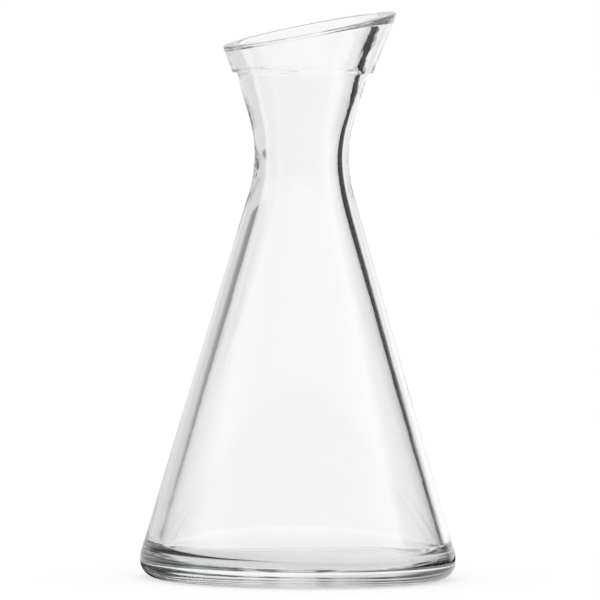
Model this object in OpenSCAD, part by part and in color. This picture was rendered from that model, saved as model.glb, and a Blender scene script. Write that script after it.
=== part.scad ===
// Water carafe: one vessel of thick clear glass, with a cone body, a waisted neck and a slanted collar.
// Millimetres, +Z up. The origin is the middle of the foot, on the table.
// The collar is tallest on the +X side, which is the side that pours.

/* [Body] */
// Widest diameter, low on the heel
body_d = 114; // [100:1:130]
// Height of the widest point above the table, which is also the radius of the foot's outer rounding
heel_h = 6.4; // [4:0.2:9]
// Profile radius between the widest point and the straight cone
heel_round = 12.4; // [8:0.2:20]

/* [Neck] */
// Outside diameter at the waist
neck_d = 34; // [30:0.5:42]
// Height of the waist above the table
neck_h = 153; // [130:1:175]
// Profile radius of the waist on its body side
neck_round_low = 51; // [30:1:70]
// Profile radius of the waist on its collar side
neck_round_high = 43; // [25:1:50]

/* [Collar] */
// Rise from the waist to the collar's lower edge
throat_rise = 29.5; // [26:0.5:40]
// Outside diameter of the neck just under the collar
throat_d = 47.4; // [44:0.2:52]
// How far the collar's lower edge stands out from the neck
collar_step = 1.65; // [0.8:0.05:3]
// Flare of the collar away from upright, in degrees
collar_flare = 21.2; // [10:0.2:28]
// Height of the collar on its low side
collar_low_h = 9.3; // [7:0.1:14]
// Height of the collar on its pouring side
collar_high_h = 22.4; // [16:0.1:30]

/* [Glass] */
// Wall at the foot of the cone, square to its surface
wall = 4.8; // [3:0.1:6]
// Wall at the waist
neck_wall = 3.8; // [2.8:0.1:5]
// Profile radius of the hollow at the waist, on its body side
hollow_round = 80; // [56:1:95]
// Wall of the collar, square to its surface
collar_wall = 5.8; // [4:0.1:7]
// Glass between the push-up and the inside floor, on the axis
floor_t = 4.4; // [3:0.1:8]
// Inside radius between the floor and the wall
floor_round = 5; // [3:0.5:9]

/* [Foot] */
// Rise of the hollow push-up under the base
push_up = 2.1; // [1:0.1:5]
// Width of the flat ring that the carafe stands on
foot_ring_w = 4; // [2:0.5:8]

/* [Edges] */
// Fire-polished rounding of the rim's inner edge
lip_round = 2; // [1:0.1:3]
// Rounding of the two corners of the collar's step
step_round = 0.5; // [0.2:0.1:0.7]
// Profile radius inside the throat, where the neck's funnel turns into the collar
throat_blend = 40; // [20:1:60]

/* [Hidden] */

// Flat faces round a full turn in the preview
turn_steps = 160;
// Straight pieces in a profile arc
arc_steps = 12;
// How far each cutter runs past what it cuts
overrun = 6;
// How far the rim's rounding stays inside the wall's line, as a share of its radius
lip_relief_share = 0.1;
glass_colour = "lightcyan";

// Outside radii and heights
body_r = body_d / 2;
neck_r = neck_d / 2;
throat_r = throat_d / 2;
collar_z = neck_h + throat_rise;
collar_r = throat_r + collar_step;
rim_low_z = collar_z + collar_low_h;
rim_high_z = collar_z + collar_high_h;
blank_top_z = rim_high_z + overrun;
foot_r = body_r - heel_h;
foot_inner_r = foot_r - foot_ring_w;
// Radius of the ball whose cap is the push-up
push_up_ball = (foot_inner_r * foot_inner_r + push_up * push_up) / (2 * push_up);

// Inside heights and radii
floor_z = push_up + floor_t;
neck_inner_r = neck_r - neck_wall;

// A direction in the profile plane, where x is the radius and y the height
function heading(a) = [cos(a), sin(a)];
function angle_of(v) = atan2(v.y, v.x);
function unit(v) = v / norm(v);

// Points of an arc about centre c, from angle a to angle b
function arc(c, r, a, b) = [for (i = [0:arc_steps]) c + r * heading(a + (b - a) * i / arc_steps)];

// The corner p between points a and b, rounded to radius r
function rounded(a, p, b, r) =
    let (
        u = unit(a - p),
        v = unit(b - p),
        half = acos(u * v) / 2,
        c = p + unit(u + v) * r / sin(half),
        from = angle_of(p + u * r / tan(half) - c),
        to = angle_of(p + v * r / tan(half) - c),
        sweep = to - from,
        short = sweep > 180 ? sweep - 360 : sweep < -180 ? sweep + 360 : sweep
    )
    arc(c, r, from, from + short);

// Where the line through p along heading a meets the line through q along heading b
function meet(p, a, q, b) =
    let (d = heading(a), e = heading(b), w = q - p)
    p + d * (w.x * e.y - w.y * e.x) / (d.x * e.y - d.y * e.x);

// Outward direction of the straight wall that leaves a bulging circle below
// and runs smoothly into a hollow circle above it
function cone_normal(c_low, r_low, c_high, r_high) =
    let (d = c_high - c_low)
    angle_of(d) - acos((r_low + r_high) / norm(d));

// Outward direction of the straight wall that leaves a hollow circle and ends at point p above it
function funnel_normal(c, r, p) =
    let (d = c - p)
    angle_of(d) + acos(r / norm(d));

// Centres of the outside arcs
heel_c = [body_r - heel_round, heel_h];
waist_low_c = [neck_r + neck_round_low, neck_h];
waist_high_c = [neck_r + neck_round_high, neck_h];
throat_p = [throat_r, collar_z];
cone_a = cone_normal(heel_c, heel_round, waist_low_c, neck_round_low);
funnel_a = funnel_normal(waist_high_c, neck_round_high, throat_p);

// Corners of the collar's step, and its flared wall above them
collar_p = [collar_r, collar_z];
collar_a = 90 - collar_flare;
collar_top = meet(collar_p, collar_a, [0, blank_top_z], 0);
funnel_start = waist_high_c - neck_round_high * heading(funnel_a);

// Inside of the cone: its corner arc lies one wall in from the outside line
function cone_reach(a) = heel_c * heading(a) + heel_round;
corner_z = floor_z + floor_round;
corner_x = (cone_reach(cone_a) - wall - floor_round - corner_z * sin(cone_a)) / cos(cone_a);
corner_c = [corner_x, corner_z];
inner_round_high = neck_round_high + neck_wall;
inner_low_c = [neck_inner_r + hollow_round, neck_h];
inner_high_c = [neck_inner_r + inner_round_high, neck_h];
inner_cone_a = cone_normal(corner_c, floor_round, inner_low_c, hollow_round);

// Inside of the collar: a line one collar wall in from the outside one
inner_collar_p = collar_p + collar_wall * heading(collar_a + 90);
inner_collar_top = meet(inner_collar_p, collar_a, [0, blank_top_z + overrun], 0);
inner_throat_p = meet(inner_collar_p, collar_a, [0, collar_z], 0);
inner_funnel_a = funnel_normal(inner_high_c, inner_round_high, inner_throat_p);
inner_funnel_start = inner_high_c - inner_round_high * heading(inner_funnel_a);

// The slanted rim: a plane through the outer edge's lowest and highest points
function collar_reach(z) = collar_r + (z - collar_z) * tan(collar_flare);
rim_low_r = collar_reach(rim_low_z);
rim_high_r = collar_reach(rim_high_z);
rim_slant = atan2(rim_high_z - rim_low_z, rim_high_r + rim_low_r);
rim_mid_z = rim_low_z + rim_low_r * tan(rim_slant);

// The rim's inner edge is the oval where that plane cuts the inside of the collar
inner_flare = tan(collar_flare);
inner_mid_r = inner_throat_p.x + (rim_mid_z - inner_throat_p.y) * inner_flare;
oval_high_x = inner_mid_r / (1 - inner_flare * tan(rim_slant));
oval_low_x = inner_mid_r / (1 + inner_flare * tan(rim_slant));
oval_mid_x = (oval_high_x - oval_low_x) / 2;
oval_mid_z = rim_mid_z + oval_mid_x * tan(rim_slant);
oval_long_r = (oval_high_x + oval_low_x) / 2 / cos(rim_slant);

// Outline of the whole blank, from the push-up on the axis round to the collar's top
function blank_outline() = concat(
    arc([0, push_up - push_up_ball], push_up_ball, 90, acos(foot_inner_r / push_up_ball)),
    arc([foot_r, heel_h], heel_h, -90, 0),
    arc(heel_c, heel_round, 0, cone_a),
    arc(waist_low_c, neck_round_low, 180 + cone_a, 180),
    arc(waist_high_c, neck_round_high, 180, 180 + funnel_a),
    rounded(funnel_start, throat_p, collar_p, step_round),
    rounded(throat_p, collar_p, collar_top, step_round),
    [collar_top, [0, blank_top_z]]
);

// Outline of the hollow, from the floor on the axis to above the rim
function hollow_outline() = concat(
    [[0, floor_z]],
    arc(corner_c, floor_round, -90, inner_cone_a),
    arc(inner_low_c, hollow_round, 180 + inner_cone_a, 180),
    arc(inner_high_c, inner_round_high, 180, 180 + inner_funnel_a),
    rounded(inner_funnel_start, inner_throat_p, inner_collar_top, throat_blend),
    [inner_collar_top, [0, blank_top_z + overrun]]
);

// Everything above the slanted rim
module above_rim() {
    side = 2 * (rim_high_r + overrun);
    translate([0, 0, rim_mid_z])
        rotate([0, -rim_slant, 0])
            translate([-side / 2, -side / 2, 0])
                cube([side, side, side]);
}

// What the flame melts off the rim's inner edge. Its arc runs smoothly into the wall on the
// pouring side, where the edge is bluntest, and goes on inside the hollow, so it leaves no ledge.
module lip_polish() {
    lean = collar_flare + rim_slant;
    edge_c = [oval_long_r + lip_round * (tan((90 - lean) / 2) - lip_relief_share), -lip_round];
    arc_end = edge_c + lip_round * heading(180 - lean);
    inside = arc_end + lip_round * heading(270 - lean);
    translate([oval_mid_x, 0, oval_mid_z])
        rotate([0, -rim_slant, 0])
            rotate_extrude($fn = turn_steps)
                polygon(concat(
                    [[0, overrun], [0, inside.y], inside],
                    arc(edge_c, lip_round, 180 - lean, 90),
                    [[edge_c.x, overrun]]
                ));
}

module carafe_glass() {
    color(glass_colour)
        difference() {
            rotate_extrude($fn = turn_steps) polygon(blank_outline());
            rotate_extrude($fn = turn_steps) polygon(hollow_outline());
            above_rim();
            lip_polish();
        }
}

carafe_glass();
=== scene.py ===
# %% [markdown]
# # A water carafe of thick clear glass
#
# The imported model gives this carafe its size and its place. Blender gives it what a CAD solid lacks: a
# surface fine enough to bend light smoothly, the small unevenness of glass that was blown in a mould, and a
# studio in which clear glass can be seen at all. The real carafe is one piece of glass, so there is one
# piece to make. Most of the work is in its walls, and in what stands round it.

import math

import bpy
import numpy as np
from mathutils import Matrix, Vector


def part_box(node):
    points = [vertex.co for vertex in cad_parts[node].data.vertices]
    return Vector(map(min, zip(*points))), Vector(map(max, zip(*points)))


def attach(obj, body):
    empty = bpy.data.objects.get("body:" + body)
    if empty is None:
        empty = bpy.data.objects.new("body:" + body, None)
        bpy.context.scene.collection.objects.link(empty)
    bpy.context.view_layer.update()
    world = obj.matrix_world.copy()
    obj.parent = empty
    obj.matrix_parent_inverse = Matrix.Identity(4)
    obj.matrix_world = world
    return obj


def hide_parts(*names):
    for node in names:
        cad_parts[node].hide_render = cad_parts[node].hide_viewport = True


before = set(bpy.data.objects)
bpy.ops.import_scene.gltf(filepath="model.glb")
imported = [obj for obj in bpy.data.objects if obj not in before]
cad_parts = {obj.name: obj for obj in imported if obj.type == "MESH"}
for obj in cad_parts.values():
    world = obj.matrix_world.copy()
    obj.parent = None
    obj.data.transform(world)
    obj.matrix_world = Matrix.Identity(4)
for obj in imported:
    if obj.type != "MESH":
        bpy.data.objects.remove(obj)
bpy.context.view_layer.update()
node_low, node_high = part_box("carafe_glass")
MM = 0.001
print("nodes:", len(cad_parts))
print("carafe:", [round(side / MM, 1) for side in node_high - node_low], "mm")

# %% [markdown]
# ## Sizes
#
# The carafe's outline can be drawn with a compass and a rule: arcs, joined by straight lines that touch
# them. These are the part's own named sizes. They are repeated here because this file reads only the
# frame. The widest radius comes from the frame's own box.

# %% Sizes of the outside
body_r = (node_high.x - node_low.x) / 2
heel_h = 6.4 * MM
heel_round = 12.4 * MM
push_up = 2.1 * MM
foot_ring_w = 4 * MM
neck_r = 17 * MM
neck_h = 153 * MM
neck_round_low = 51 * MM
neck_round_high = 43 * MM
throat_r = 23.7 * MM
collar_r = 25.35 * MM
collar_z = 182.5 * MM
collar_flare = math.radians(21.2)
rim_low_z = 191.8 * MM
rim_high_z = 204.9 * MM
print("widest radius", round(body_r / MM, 2), "mm, waist", round(neck_r / MM, 2), "mm")

# %% Sizes of the glass
wall = 4.8 * MM
neck_wall = 3.8 * MM
collar_wall = 5.8 * MM
hollow_round = 80 * MM
floor_z = 6.5 * MM
floor_round = 5 * MM
throat_blend = 40 * MM
print("wall of the cone", round(wall / MM, 1), "mm, of the collar", round(collar_wall / MM, 1), "mm")

# %% Sizes of the edges
step_round = 0.5 * MM
lip_round = 2 * MM
rim_edge_round = 0.7 * MM
print("edges rounded by", [round(edge / MM, 1) for edge in (step_round, rim_edge_round, lip_round)], "mm")

# %% [markdown]
# ## Drawing an outline
#
# A turned shape needs only half a section: a chain of points in a plane, with the radius to the right and
# the height upwards. Curve objects could hold it, but light that passes through thick glass shows every
# kink, so the points are worked out exactly, from arcs, lines and rounded corners.

# %% Arcs and lines


def heading(angle):
    """A step of length 1 in the plane of radius and height: the cosine outwards and the sine upwards."""
    return np.array([math.cos(angle), math.sin(angle)])


def arc(centre, radius, start, end, count):
    """Part of a circle: the centre plus the radius times the heading, at count angles from start to end."""
    angle = np.linspace(start, end, count)
    return np.asarray(centre) + radius * np.stack([np.cos(angle), np.sin(angle)], axis=-1)


def line(start, end, count):
    """count points that divide a straight line evenly, with its two ends left out.

    Each is the start times what is left of the way, plus the end times the share that is done.
    """
    share = np.linspace(0, 1, count + 2)[1:-1, None]
    return np.asarray(start)[..., None, :] * (1 - share) + np.asarray(end)[..., None, :] * share


print("a quarter circle of 3 points:", np.round(arc([0, 0], 1, 0, math.pi / 2, 3), 2).tolist())

# %% Rounded corners


def fillet(before, corner, after, radius, count):
    """A corner rounded by the circle that touches both its sides. It takes one corner or a ring of them.

    The centre lies on the bisector, at the radius over the sine of the half angle from the corner. Seen
    from there, the two touching points are mixed in the shares sin((1 - t) s) / sin(s) and
    sin(t s) / sin(s), where s is the turn between them, so the points are even round the circle.
    """
    back = before - corner
    back = back / np.linalg.norm(back, axis=-1, keepdims=True)
    onward = after - corner
    onward = onward / np.linalg.norm(onward, axis=-1, keepdims=True)
    half = np.arccos(np.clip((back * onward).sum(-1, keepdims=True), -1, 1)) / 2
    bisector = (back + onward) / np.linalg.norm(back + onward, axis=-1, keepdims=True)
    centre = corner + bisector * radius / np.sin(half)
    first = corner + back * radius / np.tan(half) - centre
    last = corner + onward * radius / np.tan(half) - centre
    share = np.linspace(0, 1, count)[:, None]
    swing = math.pi - 2 * half[..., None, :]
    mixed = np.sin((1 - share) * swing) * first[..., None, :] + np.sin(share * swing) * last[..., None, :]
    return centre[..., None, :] + mixed / np.sin(swing)


square_corner = fillet(np.array([0.0, 1.0]), np.array([0.0, 0.0]), np.array([1.0, 0.0]), 0.5, 3)
print("the middle of a rounded corner:", np.round(square_corner[1], 3).tolist())

# %% Lines that touch arcs


def cone_normal(low, low_r, high, high_r):
    """The outward angle of the line that leaves a bulging circle and touches a hollow one above it.

    It is the angle from centre to centre, less the angle whose cosine is both radii over their distance.
    """
    apart = high - low
    return math.atan2(apart[1], apart[0]) - math.acos((low_r + high_r) / np.hypot(*apart))


def funnel_normal(hollow, hollow_r, point):
    """The outward angle of the line that touches a hollow circle and ends at a point above it.

    It is the angle from the point to the centre, plus the angle whose cosine is the radius over their
    distance.
    """
    apart = hollow - point
    return math.atan2(apart[1], apart[0]) + math.acos(hollow_r / np.hypot(*apart))


# %% [markdown]
# ## The outside
#
# The outside was shaped by the mould. The chain starts on the axis, under the carafe, at the push-up: the
# shallow dome that keeps a glass bottom from rocking. Then come the flat ring that it stands on, the round
# heel, the straight cone, and the waist, which is two arcs that meet at the narrowest place.

# %% Outside, from the axis to under the collar
UP = math.pi / 2
INWARD = math.pi
CONE_POINTS = 48
WAIST_POINTS = 14

foot_r = body_r - heel_h
foot_inner_r = foot_r - foot_ring_w
# A dome's radius is the square of half its width, plus the square of its rise, over twice the rise
dome_r = (foot_inner_r**2 + push_up**2) / (2 * push_up)
heel_c = np.array([body_r - heel_round, heel_h])
low_c = np.array([neck_r + neck_round_low, neck_h])
high_c = np.array([neck_r + neck_round_high, neck_h])
throat = np.array([throat_r, collar_z])
cone_a = cone_normal(heel_c, heel_round, low_c, neck_round_low)
funnel_a = funnel_normal(high_c, neck_round_high, throat)
funnel_start = high_c - neck_round_high * heading(funnel_a)
outside = np.concatenate([
    arc([0, push_up - dome_r], dome_r, UP, math.acos(foot_inner_r / dome_r), 24),
    line([foot_inner_r, 0], [foot_r, 0], 4),
    arc([foot_r, heel_h], heel_h, -UP, 0, 26),
    arc(heel_c, heel_round, 0, cone_a, 8)[1:],
    line(heel_c + heel_round * heading(cone_a), low_c - neck_round_low * heading(cone_a), CONE_POINTS),
    arc(low_c, neck_round_low, INWARD + cone_a, INWARD, WAIST_POINTS),
    arc(high_c, neck_round_high, INWARD, INWARD + funnel_a, WAIST_POINTS)[1:],
    line(funnel_start, throat, WAIST_POINTS),
])
print("outside:", len(outside), "points, cone", round(math.degrees(cone_a), 1), "degrees from upright")

# %% [markdown]
# ## The inside
#
# The inside was shaped by air and by the stretch of the glass, so it isn't a copy of the outside. Its waist
# is a wider arc, which makes the wall thickest under the neck. An offset of the outside would be quicker,
# but the dark lines in a glass wall follow its thickness, and they would come out wrong.

# %% Inside, from the axis to the throat
# The centre of the floor's corner lies one wall and one rounding in from the outside of the cone
reach = heel_c @ heading(cone_a) + heel_round - wall - floor_round
corner_z = floor_z + floor_round
floor_corner = np.array([(reach - corner_z * math.sin(cone_a)) / math.cos(cone_a), corner_z])
inner_low_c = np.array([neck_r - neck_wall + hollow_round, neck_h])
inner_high_r = neck_round_high + neck_wall
inner_cone_a = cone_normal(floor_corner, floor_round, inner_low_c, hollow_round)
flare_up = np.array([math.sin(collar_flare), math.cos(collar_flare)])
flare_in = np.array([-math.cos(collar_flare), math.sin(collar_flare)])
collar = np.array([collar_r, collar_z])
# The inside of the collar is a line one collar wall in from the outside one
collar_in = collar + collar_wall * flare_in
inner_throat = collar_in + flare_up * (collar_z - collar_in[1]) / flare_up[1]
inner_funnel_a = funnel_normal(high_c, inner_high_r, inner_throat)
inner_funnel_start = high_c - inner_high_r * heading(inner_funnel_a)
inner_cone = line(
    floor_corner + floor_round * heading(inner_cone_a),
    inner_low_c - hollow_round * heading(inner_cone_a), CONE_POINTS)
floor_out = np.linspace(0, floor_corner[0], 41)[:-1]
inside = np.concatenate([
    np.stack([floor_out, np.full_like(floor_out, floor_z)], axis=-1),
    arc(floor_corner, floor_round, -UP, inner_cone_a, 18),
    inner_cone,
    arc(inner_low_c, hollow_round, INWARD + inner_cone_a, INWARD, WAIST_POINTS),
    arc(high_c, inner_high_r, INWARD, INWARD + inner_funnel_a, WAIST_POINTS)[1:],
])
print("inside:", len(inside), "points, flat floor to", round(floor_corner[0] / MM, 1), "mm out")

# %% [markdown]
# ## The collar and its slanted rim
#
# The collar is a thicker band above a small step. Its top was cut on a slant and melted round in a flame,
# and it reaches highest on the side that pours. Cutting the mesh with a plane would leave slivers of faces
# along the cut. Instead, the outline is a little different in each direction round the axis, and the rim's
# roundings are worked out in each of them.

# %% Where the collar's lines meet the rim
TURNS = 256
turn = np.linspace(0, 2 * math.pi, TURNS, endpoint=False)
tan_flare = math.tan(collar_flare)
rim_low_r = collar_r + (rim_low_z - collar_z) * tan_flare
rim_high_r = collar_r + (rim_high_z - collar_z) * tan_flare
tan_slant = (rim_high_z - rim_low_z) / (rim_high_r + rim_low_r)
rim_mid_z = rim_low_z + rim_low_r * tan_slant


def on_slant(point):
    """Where the flared line up from a point meets the rim's plane, in each direction round the axis.

    Along the line the radius grows by tan(flare) for each unit of height. On the plane the height grows by
    tan(slant) times the cosine of the direction for each unit of radius. Solved for the radius, that is the
    line's radius at the plane's height on the axis, over 1 - tan(flare) tan(slant) cos(direction).
    """
    on_axis = point[0] + (rim_mid_z - point[1]) * tan_flare
    radius = on_axis / (1 - tan_flare * tan_slant * np.cos(turn))
    return np.stack([radius, point[1] + (radius - point[0]) / tan_flare], axis=-1)


def all_round(points):
    """The same points in every direction round the axis."""
    return np.broadcast_to(points, (TURNS,) + np.shape(points))


rim_out = on_slant(collar)
rim_in = on_slant(collar_in)
print("rim: slant", round(math.degrees(math.atan(tan_slant)), 1), "degrees")
print("rim: from", round(rim_out[:, 1].min() / MM, 1), "to", round(rim_out[:, 1].max() / MM, 1), "mm up")

# %% The collar's band, from the step over the rim and down to the throat
step_in = all_round(fillet(funnel_start, throat, collar, step_round, 6))
step_out = fillet(all_round(throat), all_round(collar), rim_out, step_round, 6)
edge_out = fillet(all_round(collar), rim_out, rim_in, rim_edge_round, 7)
edge_in = fillet(rim_out, rim_in, all_round(inner_throat), lip_round, 14)
throat_in = fillet(rim_in, all_round(inner_throat), all_round(inner_funnel_start), throat_blend, 8)
up_to_lip = np.concatenate([
    step_in,
    line(step_in[:, -1], step_out[:, 0], 3),
    step_out,
    line(step_out[:, -1], edge_out[:, 0], 16),
    edge_out,
    line(edge_out[:, -1], edge_in[:, 0], 8),
], axis=1)
from_lip = np.concatenate([
    edge_in,
    line(edge_in[:, -1], throat_in[:, 0], 16),
    throat_in,
    line(throat_in[:, -1], all_round(inner_funnel_start), 8),
], axis=1)
lip_row = len(outside) + up_to_lip.shape[1] + edge_in.shape[1] // 2
outline = np.concatenate([all_round(outside), up_to_lip, from_lip, all_round(inside[::-1])], axis=1)
print("outline:", outline.shape[1], "points in each of", TURNS, "directions, lip at row", lip_row)

# %% [markdown]
# ## The unevenness of moulded glass
#
# In moulded glass the hollow never stands quite on the axis, so one wall is thicker than the other, and
# the lines in the two walls differ. The floor inside is the last place to set, and keeps shallow waves.
# Noise could move the points, but these faults are broad and smooth, so a few named offsets and sines
# say them better.

# %% How far the hollow stands off the axis
height = outline[..., 1]
row = np.arange(outline.shape[1])
# inner is 0 on the outside and 1 on the inside, with a soft change over some rows at the lip
lip_softness = 6.0
inner = 1 / (1 + np.exp(-(row - lip_row) / lip_softness))
level_mm = np.array([0, 20, 60, 100, 140, 152, 165, 176, 184, 190, 210])
offset_mm = np.array([0.66, 0.6, 0.3, 0.2, 0.05, 0.02, 0.35, 0.6, 0.1, -0.1, -0.1])
# The offsets are joined by straight lines and then smoothed by a bell, so the wall gets no kink
fine_mm = np.linspace(-20, 230, 1001)
bell = np.exp(-(np.linspace(-3, 3, 49)) ** 2)
smooth_mm = np.convolve(np.interp(fine_mm, level_mm, offset_mm), bell / bell.sum(), mode="same")
cavity_offset = np.interp(height / MM, fine_mm, smooth_mm) * MM
# The outside leans the same way, by much less, in the neck and the collar
neck_part = np.clip((height - 100 * MM) / (60 * MM), 0, 1)
collar_part = np.clip((height - collar_z + step_round) / (4 * step_round), 0, 1)
outer_lean = 0.1 * MM * neck_part + 0.15 * MM * collar_part
shift = inner * cavity_offset + (1 - inner) * outer_lean
print("the hollow stands off the axis by up to", round((inner * cavity_offset).max() / MM, 2), "mm")

# %% The wedge in the waist and the waves of the floor
azimuth = math.radians(-10.5)


def bump(middle_mm, reach_mm):
    """A smooth bell of height 1 at a height up the carafe: e to the minus (distance / reach) squared."""
    return np.exp(-((height - middle_mm * MM) / (reach_mm * MM)) ** 2)


# Half the sine of twice a direction, less its sine, is steep on the left and flat on the right, so it
# makes the wall a wedge on one side only
from_view = turn[:, None] - azimuth
wedge = 0.5 * MM * bump(middle_mm=149, reach_mm=6) + 0.25 * MM * bump(middle_mm=170, reach_mm=8)
wedge_in = wedge * (0.5 * np.sin(2 * from_view) - np.sin(from_view)) * inner
# Waves round the floor: how many crests, how high in mm, and where they start. They are flat in the
# middle of the floor and end where it turns up into the wall
waves = [(2, 0.22, 0.6), (3, 0.2, 2.1), (5, 0.12, 4.0)]
floor_rows = 60
fade_rows = 4
wave_full_r = 44 * MM
on_floor = np.clip((row - (outline.shape[1] - floor_rows)) / fade_rows, 0, 1)
outwards = np.clip(outline[..., 0] / wave_full_r, 0, 1) ** 2
wave = sum(high * np.sin(crests * turn + start) for crests, high, start in waves)
outline = outline + np.stack([wedge_in, on_floor * outwards * wave[:, None] * MM], axis=-1)
print("waves of the floor:", round(wave.min(), 2), "to", round(wave.max(), 2), "mm")

# %% [markdown]
# ## The mesh
#
# The outlines of all directions are the rows of one grid, and the grid closes on itself round the axis. Its
# two ends lie on the axis, under the carafe and on the floor inside. Each end is one shared point, so the
# glass is a closed body with an inside and an outside, which light needs to enter it and leave it.

# %% Carrying the outlines round the axis


def turned_mesh(name, outline, shift):
    """Carries each direction's outline round the axis.

    A point's x is its radius times the cosine of the direction, plus the shift of its row, and its y is the
    radius times the sine. The first and last points of an outline lie on the axis and are shared poles.
    """
    turns, rows = outline.shape[:2]
    angle = np.linspace(0, 2 * math.pi, turns, endpoint=False)[:, None]
    radius = outline[:, 1:-1, 0]
    height = outline[:, 1:-1, 1]
    ring = np.stack([radius * np.cos(angle) + shift[:, 1:-1], radius * np.sin(angle), height], axis=-1)
    poles = np.array([[shift[0, 0], 0, outline[0, 0, 1]], [shift[0, -1], 0, outline[0, -1, 1]]])
    points = np.concatenate([ring.reshape(-1, 3), poles])
    length = rows - 2
    along = np.arange(length - 1)[None, :]
    here = np.arange(turns)[:, None] * length
    beside = (np.arange(turns)[:, None] + 1) % turns * length
    corners = [here + along, beside + along, beside + along + 1, here + along + 1]
    quads = np.stack(corners, axis=-1).reshape(-1, 4)
    low_pole = np.full((turns, 1), len(points) - 2)
    high_pole = np.full((turns, 1), len(points) - 1)
    caps = np.concatenate([
        np.concatenate([low_pole, beside, here], axis=-1),
        np.concatenate([high_pole, here + length - 1, beside + length - 1], axis=-1),
    ])
    mesh = bpy.data.meshes.new(name)
    mesh.from_pydata(points, [], quads.tolist() + caps.tolist())
    mesh.shade_smooth()
    mesh.validate()
    piece = bpy.data.objects.new(name, mesh)
    bpy.context.collection.objects.link(piece)
    return piece


# %% The carafe
carafe = turned_mesh("clear_glass_carafe", outline, shift)
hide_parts("carafe_glass")
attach(carafe, "root")
print("carafe:", len(carafe.data.vertices), "points,", len(carafe.data.polygons), "faces")

# %% How much glass it holds


def enclosed_volume(mesh):
    """The volume inside a closed mesh: a sixth of the sum, over its triangles, of a . (b x c)."""
    mesh.calc_loop_triangles()
    picked = np.empty(len(mesh.loop_triangles) * 3, dtype=np.int32)
    mesh.loop_triangles.foreach_get("vertices", picked)
    places = np.empty(len(mesh.vertices) * 3)
    mesh.vertices.foreach_get("co", places)
    corner = places.reshape(-1, 3)[picked.reshape(-1, 3)]
    return np.einsum("ij,ij->i", corner[:, 0], np.cross(corner[:, 1], corner[:, 2])).sum() / 6


volume = enclosed_volume(carafe.data)
print("triangles:", len(carafe.data.loop_triangles), "- glass:", round(volume * 1e6, 1), "cm3")

# %% [markdown]
# ## Colours and nodes
#
# Colours are written as a screen shows them, and the shaders want them in linear light, so one function
# changes them. A second one adds any node with its settings and its links, and every material uses it.

# %% Helpers for materials


def linear(code):
    """An sRGB hex colour as linear red, green, blue and alpha.

    A part up to 0.04045 is divided by 12.92. Above that it is ((part + 0.055) / 1.055) to the power 2.4.
    """
    parts = [int(code[start:start + 2], 16) / 255 for start in (0, 2, 4)]
    return [part / 12.92 if part <= 0.04045 else ((part + 0.055) / 1.055) ** 2.4 for part in parts] + [1.0]


def add(tree, kind, inputs=None, **settings):
    """Adds a node. Each input is set to a number or colour, or linked where it is given a socket."""
    node = tree.nodes.new(kind)
    for key, value in settings.items():
        setattr(node, key, value)
    for key, value in (inputs or {}).items():
        if isinstance(value, bpy.types.NodeSocket):
            tree.links.new(value, node.inputs[key])
        else:
            node.inputs[key].default_value = value
    return node


def new_tree(holder):
    """The empty node tree of a new material or world."""
    holder.use_nodes = True
    holder.node_tree.nodes.clear()
    return holder.node_tree


MULTIPLY = {"operation": "MULTIPLY"}
SUBTRACT = {"operation": "SUBTRACT"}
SOFT = {"interpolation_type": "SMOOTHSTEP"}
BLACK = linear("000000")
WHITE = linear("FFFFFF")
print("mid grey 808080 is", round(linear("808080")[0], 3), "in linear light")

# %% [markdown]
# ## The glass
#
# This is soda-lime glass, the plain glass of jars and tumblers, blown in a mould and polished by a flame.
# It bends light with an index of 1.52, which puts a line inside each wall, where the hollow's edge is
# mirrored. Iron in the sand leaves a breath of green, seen only where light has gone a long way through the
# glass, so the colour is in the volume and not on the surface.
#
# Two things keep it from looking like a perfect lens. The mould chills the skin into ripples about 7 mm
# wide and a few hundredths of a millimetre deep, and the collar, which was heated again for the rim, has
# deeper ones that break its dark bands into knots. The foot, which meets the table, is scuffed a little
# matt. A bump is enough for the ripples, because they are too shallow to show in the outline.

# %% Where the foot is scuffed
glass = bpy.data.materials.new("soda_lime_glass")
tree = new_tree(glass)
place = add(tree, "ShaderNodeTexCoord").outputs["Object"]
tall = add(tree, "ShaderNodeSeparateXYZ", {0: place}).outputs["Z"]
flat = add(tree, "ShaderNodeVectorMath", {0: place, 1: (1, 1, 0)}, **MULTIPLY).outputs[0]
out = add(tree, "ShaderNodeVectorMath", {0: flat}, operation="LENGTH").outputs["Value"]
scuff = 0.08
below = add(tree, "ShaderNodeMapRange", {
    "Value": tall, "From Min": push_up, "From Max": push_up + 0.1 * MM, "To Min": scuff, "To Max": 0.0})
within = add(tree, "ShaderNodeMapRange", {
    "Value": out, "From Min": 50.5 * MM, "From Max": 51.5 * MM, "To Min": 1.0, "To Max": 0.0})
rough = add(tree, "ShaderNodeMath", {0: below.outputs[0], 1: within.outputs[0]}, **MULTIPLY).outputs[0]
print("scuffed up to", round(push_up / MM, 1), "mm above the table")

# %% Ripples of the mould
# Seven ripples lie in 50 mm. They are faint in the body and full in the collar, and grow in the funnel
# between the two
ripple_width = 50 * MM / 7
ripple_depth = 0.2 * MM
body_share = 0.12
strength = add(tree, "ShaderNodeMapRange", {
    "Value": tall, "From Min": 165 * MM, "From Max": 180 * MM,
    "To Min": body_share, "To Max": 1.0}).outputs[0]
ripple = add(tree, "ShaderNodeTexNoise", {
    "Vector": place, "Scale": 1 / ripple_width, "Detail": 2.0, "Roughness": 0.4}).outputs[0]
wavy = add(tree, "ShaderNodeBump", {
    "Height": ripple, "Distance": ripple_depth, "Strength": strength}).outputs[0]
print("ripples:", round(ripple_width / MM, 1), "mm wide")
print("ripples:", round(ripple_depth * body_share / MM, 3), "mm deep in the body,",
      round(ripple_depth / MM, 1), "mm in the collar")

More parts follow.
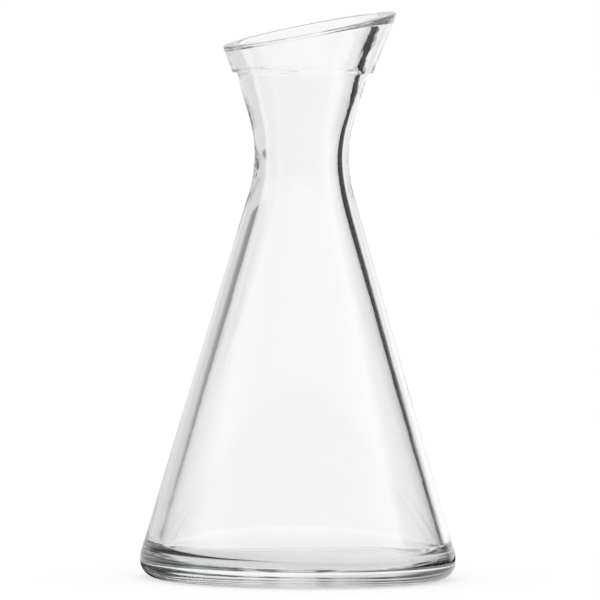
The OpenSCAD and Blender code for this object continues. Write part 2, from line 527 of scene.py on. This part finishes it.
# %% Clear glass with a breath of green
body = add(tree, "ShaderNodeBsdfPrincipled", {
    "Base Color": WHITE, "Normal": wavy, "Roughness": rough, "IOR": 1.52, "Transmission Weight": 1.0})
soak = add(tree, "ShaderNodeVolumeAbsorption", {"Color": linear("F2F6F4"), "Density": 4.0})
add(tree, "ShaderNodeOutputMaterial", {"Surface": body.outputs[0], "Volume": soak.outputs[0]})
carafe.data.materials.append(glass)
print("glass:", len(tree.nodes), "nodes")

# %% [markdown]
# ## The camera
#
# The picture was taken with a long lens from far away, so the near and far sides of the rim have almost the
# same scale. The fit of the outline to the photograph gave the size of a pixel, the place of the foot's
# middle, how far the camera looks down, and a lean of half a degree. A lens shift could put the foot in its
# place, but the camera is turned to it instead, so that other views need no correction.

# %% What the photograph says
PIXEL = 0.3613 * MM
frame_px = 600
foot_px = np.array([297.7, 577.8])
camera_distance = 4.0
foot_elevation = math.radians(4.38)
lean = math.radians(0.51)
focal_px = camera_distance / PIXEL
off_px = foot_px - frame_px / 2
off_x = (off_px[0] * math.cos(lean) + off_px[1] * math.sin(lean)) / focal_px
off_y = (off_px[1] * math.cos(lean) - off_px[0] * math.sin(lean)) / focal_px
tilt = foot_elevation - math.atan(off_y)
swing = azimuth + math.atan(off_x)
print("the camera looks down by", round(math.degrees(tilt), 2), "degrees")

# %% The camera in its place
lens_data = bpy.data.cameras.new("studio_camera")
lens_data.sensor_width = 36
lens_data.lens = lens_data.sensor_width * focal_px / frame_px
lens_data.clip_end = 100
camera = bpy.data.objects.new("studio_camera", lens_data)
bpy.context.collection.objects.link(camera)
bpy.context.scene.camera = camera
towards_camera = Vector((
    math.sin(azimuth) * math.cos(foot_elevation),
    -math.cos(azimuth) * math.cos(foot_elevation),
    math.sin(foot_elevation)))
camera.matrix_world = (
    Matrix.Translation(towards_camera * camera_distance)
    @ Matrix.Rotation(swing, 4, "Z")
    @ Matrix.Rotation(math.pi / 2 - tilt, 4, "X")
    @ Matrix.Rotation(lean, 4, "Z"))
print("lens:", round(lens_data.lens), "mm")

# %% [markdown]
# ## The studio
#
# Clear glass has no look of its own. It shows what stands round it, bent and mirrored, and in a room that
# is white all round it would vanish. Glass is photographed against white, with dark things at the sides,
# and their images draw the edges. Here the light comes evenly from the world, at a plain level. The dark
# things are placed by their bearing, in degrees from straight behind the carafe, positive to the camera's
# right:
#
# - a black card on the right, which draws the dark line in the right wall,
# - a grey band on the left, paler low down, which draws the softer left wall,
# - the dark room behind the camera, seen only in reflections on the glass.
#
# In a real studio the cards are moved for each view. These stay, so they count fully only for light that
# the glass has mirrored, and faintly for light that goes straight through. That keeps the glass clear from
# all sides. Light is mirrored many times inside the walls, so the limits on bounces are raised.

# %% Colour and bounces
scene = bpy.context.scene
scene.view_settings.view_transform = "Standard"
scene.cycles.max_bounces = 48
scene.cycles.glossy_bounces = 32
scene.cycles.transmission_bounces = 48
print("bounces:", scene.cycles.max_bounces)

# %% Naming a direction by its bearing


def cosine(degrees):
    """The cosine of an angle in degrees."""
    return math.cos(math.radians(degrees))


def sine(degrees):
    """The sine of an angle in degrees."""
    return math.sin(math.radians(degrees))


def sector(tree, place, bearing, inside, outside):
    """1 within inside degrees of a bearing, 0 past outside degrees of it, and a soft step between.

    A place or direction is laid flat and brought to length 1. Its dot product with the bearing's own
    direction is the cosine of the angle between the two.
    """
    aim = (sine(bearing - math.degrees(azimuth)), cosine(bearing - math.degrees(azimuth)), 0)
    flat = add(tree, "ShaderNodeVectorMath", {0: place, 1: (1, 1, 0)}, **MULTIPLY).outputs[0]
    unit = add(tree, "ShaderNodeVectorMath", {0: flat}, operation="NORMALIZE").outputs[0]
    likeness = add(tree, "ShaderNodeVectorMath", {0: unit, 1: aim},
                   operation="DOT_PRODUCT").outputs["Value"]
    return add(tree, "ShaderNodeMapRange", {
        "Value": likeness, "From Min": cosine(outside), "From Max": cosine(inside)}, **SOFT).outputs[0]


print("straight behind the carafe lies", [round(-math.sin(azimuth), 2), round(math.cos(azimuth), 2)])

# %% The dark room behind the camera
world = bpy.data.worlds.new("studio")
scene.world = world
tree = new_tree(world)
ray = add(tree, "ShaderNodeLightPath")
look = add(tree, "ShaderNodeTexCoord").outputs["Generated"]
rise = add(tree, "ShaderNodeSeparateXYZ", {0: look}).outputs["Z"]
room_per_mirroring = 0.6
mirrored = add(tree, "ShaderNodeMapRange", {
    "Value": ray.outputs["Glossy Depth"], "From Max": 1 / room_per_mirroring}).outputs[0]
behind = sector(tree, look, bearing=180, inside=45, outside=100)
room = add(tree, "ShaderNodeMath", {0: behind, 1: mirrored}, **MULTIPLY).outputs[0]
print("room: one mirroring shows", round(100 * room_per_mirroring), "% of its darkness")

# %% The grey band on the left
wide_grey = 0.28
narrow_grey = 0.45
band_faint = 0.15
wide = sector(tree, look, bearing=-40, inside=25, outside=48)
wide = add(tree, "ShaderNodeMath", {0: wide, 1: wide_grey}, **MULTIPLY).outputs[0]
# The narrow part starts above the table, so the cone sees it and the waist does not
rising = add(tree, "ShaderNodeMapRange", {
    "Value": rise, "From Min": sine(4.5), "From Max": sine(7),
    "To Min": 0.0, "To Max": narrow_grey}).outputs[0]
narrow = sector(tree, look, bearing=-62, inside=14, outside=36)
narrow = add(tree, "ShaderNodeMath", {0: narrow, 1: rising}, **MULTIPLY).outputs[0]
left = add(tree, "ShaderNodeMath", {0: wide, 1: narrow}, operation="ADD").outputs[0]
# The band ends softly below and above
band_low = sine(-60)
band_high = sine(40)
band_soft = 0.15
above = add(tree, "ShaderNodeMapRange", {
    "Value": rise, "From Min": band_low - band_soft, "From Max": band_low}, **SOFT).outputs[0]
under = add(tree, "ShaderNodeMapRange", {
    "Value": rise, "From Min": band_high, "From Max": band_high + band_soft,
    "To Min": 1.0, "To Max": 0.0}, **SOFT).outputs[0]
ends = add(tree, "ShaderNodeMath", {0: above, 1: under}, **MULTIPLY).outputs[0]
left = add(tree, "ShaderNodeMath", {0: left, 1: ends}, **MULTIPLY).outputs[0]
# The band shows fully in light that was mirrored at least once
seen = add(tree, "ShaderNodeMapRange", {
    "Value": ray.outputs["Glossy Depth"], "To Min": band_faint}).outputs[0]
left = add(tree, "ShaderNodeMath", {0: left, 1: seen}, **MULTIPLY).outputs[0]
print("left band: up to", round(100 * (wide_grey + narrow_grey)), "% dark")

# %% The light of the world
# in_glass is 0 for what the camera sees past the carafe, which stays plain white
in_glass = add(tree, "ShaderNodeMath", {0: 1.0, 1: ray.outputs["Is Camera Ray"]}, **SUBTRACT).outputs[0]
left = add(tree, "ShaderNodeMath", {0: left, 1: in_glass}, **MULTIPLY).outputs[0]
past_room = add(tree, "ShaderNodeMath", {0: 1.0, 1: room}, **SUBTRACT).outputs[0]
past_left = add(tree, "ShaderNodeMath", {0: 1.0, 1: left}, **SUBTRACT).outputs[0]
level = add(tree, "ShaderNodeMath", {0: past_room, 1: past_left}, **MULTIPLY).outputs[0]
light = add(tree, "ShaderNodeBackground", {"Color": WHITE, "Strength": level})
add(tree, "ShaderNodeOutputWorld", {"Surface": light.outputs[0]})
print("world:", len(tree.nodes), "nodes")

# %% [markdown]
# ## The floor
#
# The table is a round board in matt white paint, and where nothing shades it, it is as white as the wall
# behind, so no horizon shows. In paint alone the shadow would be darker than the faint one in the
# photograph. So part of the board's white is a glow, and the rest is paint, which takes the shadow. The
# share of paint is greater under the foot, where the real shadow is darkest.
#
# The solid heel is a strong lens. It looks down at the board on its left and far behind it, and the
# photograph shows dark there, so shade is painted on the board in those two places: a painted contact
# shadow beside the foot on its left, and a painted patch of shade far behind. The painted shade shows only
# in light that has crossed the glass at most once. Nothing of it shows to the camera itself.

# %% A disc of board
DISC_POINTS = 96
disc_r = 0.25
disc_turn = np.linspace(0, 2 * math.pi, DISC_POINTS, endpoint=False)
disc = np.stack([disc_r * np.cos(disc_turn), disc_r * np.sin(disc_turn), 0 * disc_turn], axis=-1)
floor_mesh = bpy.data.meshes.new("floor")
floor_mesh.from_pydata(disc, [], [list(range(DISC_POINTS))])
floor = bpy.data.objects.new("floor", floor_mesh)
floor.location.z = -0.02 * MM
bpy.context.collection.objects.link(floor)
print("floor: a disc", round(2 * disc_r / MM), "mm across")

# %% Painted shade on the board, seen through the heel
paint = bpy.data.materials.new("matt_white_paint")
tree = new_tree(paint)
ray = add(tree, "ShaderNodeLightPath")
place = add(tree, "ShaderNodeTexCoord").outputs["Object"]
out = add(tree, "ShaderNodeVectorMath", {0: place}, operation="LENGTH").outputs["Value"]
# straight is 1 for light that no matt surface has scattered on its way to the camera
straight = add(tree, "ShaderNodeMapRange", {
    "Value": ray.outputs["Diffuse Depth"], "To Min": 1.0, "To Max": 0.0}).outputs[0]
in_glass = add(tree, "ShaderNodeMath", {0: 1.0, 1: ray.outputs["Is Camera Ray"]}, **SUBTRACT).outputs[0]
# To cross the glass once is to enter it and to leave it: two transmissions
crossed_once = add(tree, "ShaderNodeMath", {
    0: ray.outputs["Transmission Depth"], 1: 2.5}, operation="LESS_THAN").outputs[0]
through_heel = add(tree, "ShaderNodeMath", {0: crossed_once, 1: in_glass}, **MULTIPLY).outputs[0]
# The painted contact shadow starts at the foot and fades out by 120 mm, the painted shade far behind starts
# past 110 mm
from_foot = add(tree, "ShaderNodeMapRange", {
    "Value": out, "From Min": 50 * MM, "From Max": 53 * MM}, **SOFT).outputs[0]
fading = add(tree, "ShaderNodeMapRange", {
    "Value": out, "From Min": 70 * MM, "From Max": 120 * MM, "To Min": 1.0, "To Max": 0.0},
    **SOFT).outputs[0]
painted_heel_shadow = add(tree, "ShaderNodeMath", {0: from_foot, 1: fading}, **MULTIPLY).outputs[0]
on_left = sector(tree, place, bearing=-100, inside=48, outside=78)
painted_heel_shadow = add(tree, "ShaderNodeMath", {0: painted_heel_shadow, 1: on_left}, **MULTIPLY).outputs[0]
painted_heel_shadow = add(tree, "ShaderNodeMath", {0: painted_heel_shadow, 1: straight}, **MULTIPLY).outputs[0]
# A painted patch of shade on the board far behind the foot, seen only through the heel
painted_far_shade = add(tree, "ShaderNodeMapRange", {
    "Value": out, "From Min": 110 * MM, "From Max": 150 * MM}, **SOFT).outputs[0]
behind = sector(tree, place, bearing=14, inside=22, outside=50)
painted_far_shade = add(tree, "ShaderNodeMath", {0: painted_far_shade, 1: behind}, **MULTIPLY).outputs[0]
# dark holds both painted shades, and level is what they leave of the board's paint and glow
dark = add(tree, "ShaderNodeMath", {0: painted_heel_shadow, 1: painted_far_shade}, operation="MAXIMUM").outputs[0]
dark = add(tree, "ShaderNodeMath", {0: dark, 1: through_heel}, **MULTIPLY).outputs[0]
level = add(tree, "ShaderNodeMath", {0: 1.0, 1: dark}, **SUBTRACT).outputs[0]
print("floor:", len(tree.nodes), "nodes find the dark places")

# %% White paint, part glow
full_white = 1.02
paint_under = 0.4
paint_beyond = 0.25
share = add(tree, "ShaderNodeMapRange", {
    "Value": out, "From Min": 54 * MM, "From Max": 66 * MM, "To Min": paint_under, "To Max": paint_beyond},
    **SOFT).outputs[0]
# What the paint leaves of the full white is glow, so the open board stays as white as the wall
lit = add(tree, "ShaderNodeMath", {0: share, 1: level}, **MULTIPLY).outputs[0]
rest = add(tree, "ShaderNodeMath", {0: full_white, 1: share}, **SUBTRACT).outputs[0]
glow = add(tree, "ShaderNodeMath", {0: rest, 1: level}, **MULTIPLY).outputs[0]
glow = add(tree, "ShaderNodeMath", {0: glow, 1: straight}, **MULTIPLY).outputs[0]
matt = add(tree, "ShaderNodeBsdfDiffuse", {"Color": lit})
fill = add(tree, "ShaderNodeEmission", {"Color": WHITE, "Strength": glow})
both = add(tree, "ShaderNodeAddShader", {0: matt.outputs[0], 1: fill.outputs[0]})
add(tree, "ShaderNodeOutputMaterial", {"Surface": both.outputs[0]})
floor_mesh.materials.append(paint)
print("floor: the paint's share is", paint_beyond, "and", paint_under, "under the foot")

# %% [markdown]
# ## The black card
#
# The card stands 0.6 m away on the right. It is a real surface and not part of the world, because at a true
# distance the narrow neck and the wide foot see it in slightly different directions, as they do in a studio.
# A flat card would end in a hard edge. A ring of clear film, printed black over one sector, lets the black
# fade at both ends and at the top. The camera, the shadows and the floor don't see it, only the glass does.

# %% A ring of film
ring_r = 0.6
ring_low = -0.15
ring_high = 0.62
RING_POINTS = 96
ring_turn = np.linspace(0, 2 * math.pi, RING_POINTS, endpoint=False)
circle = np.stack([ring_r * np.cos(ring_turn), ring_r * np.sin(ring_turn), 0 * ring_turn], axis=-1)
low_ring = circle + [0, 0, ring_low]
high_ring = circle + [0, 0, ring_high]
here = np.arange(RING_POINTS)
beside = (here + 1) % RING_POINTS
card_mesh = bpy.data.meshes.new("flags")
card_mesh.from_pydata(
    np.concatenate([low_ring, high_ring]), [],
    np.stack([here, beside, beside + RING_POINTS, here + RING_POINTS], axis=-1).tolist())
cards = bpy.data.objects.new("flags", card_mesh)
bpy.context.collection.objects.link(cards)
cards.visible_camera = False
cards.visible_diffuse = False
cards.visible_shadow = False
print("card: ring of", ring_r, "m radius,", round(ring_high - ring_low, 2), "m high")

# %% Black print that fades
card = bpy.data.materials.new("black_card")
tree = new_tree(card)
ray = add(tree, "ShaderNodeLightPath")
place = add(tree, "ShaderNodeTexCoord").outputs["Object"]
tall = add(tree, "ShaderNodeSeparateXYZ", {0: place}).outputs["Z"]
soft_edge = 0.12
card_faint = 0.1
soft_top = add(tree, "ShaderNodeMapRange", {
    "Value": tall, "From Min": ring_high - soft_edge, "From Max": ring_high, "To Min": 1.0, "To Max": 0.0},
    **SOFT).outputs[0]
right = sector(tree, place, bearing=64, inside=22, outside=32)
dark = add(tree, "ShaderNodeMath", {0: right, 1: soft_top}, **MULTIPLY).outputs[0]
seen = add(tree, "ShaderNodeMapRange", {
    "Value": ray.outputs["Glossy Depth"], "To Min": card_faint}).outputs[0]
dark = add(tree, "ShaderNodeMath", {0: dark, 1: seen}, **MULTIPLY).outputs[0]
clear = add(tree, "ShaderNodeBsdfTransparent")
black = add(tree, "ShaderNodeBsdfDiffuse", {"Color": BLACK})
shown = add(tree, "ShaderNodeMixShader", {0: dark, 1: clear.outputs[0], 2: black.outputs[0]})
add(tree, "ShaderNodeOutputMaterial", {"Surface": shown.outputs[0]})
card_mesh.materials.append(card)
print("card:", len(tree.nodes), "nodes")
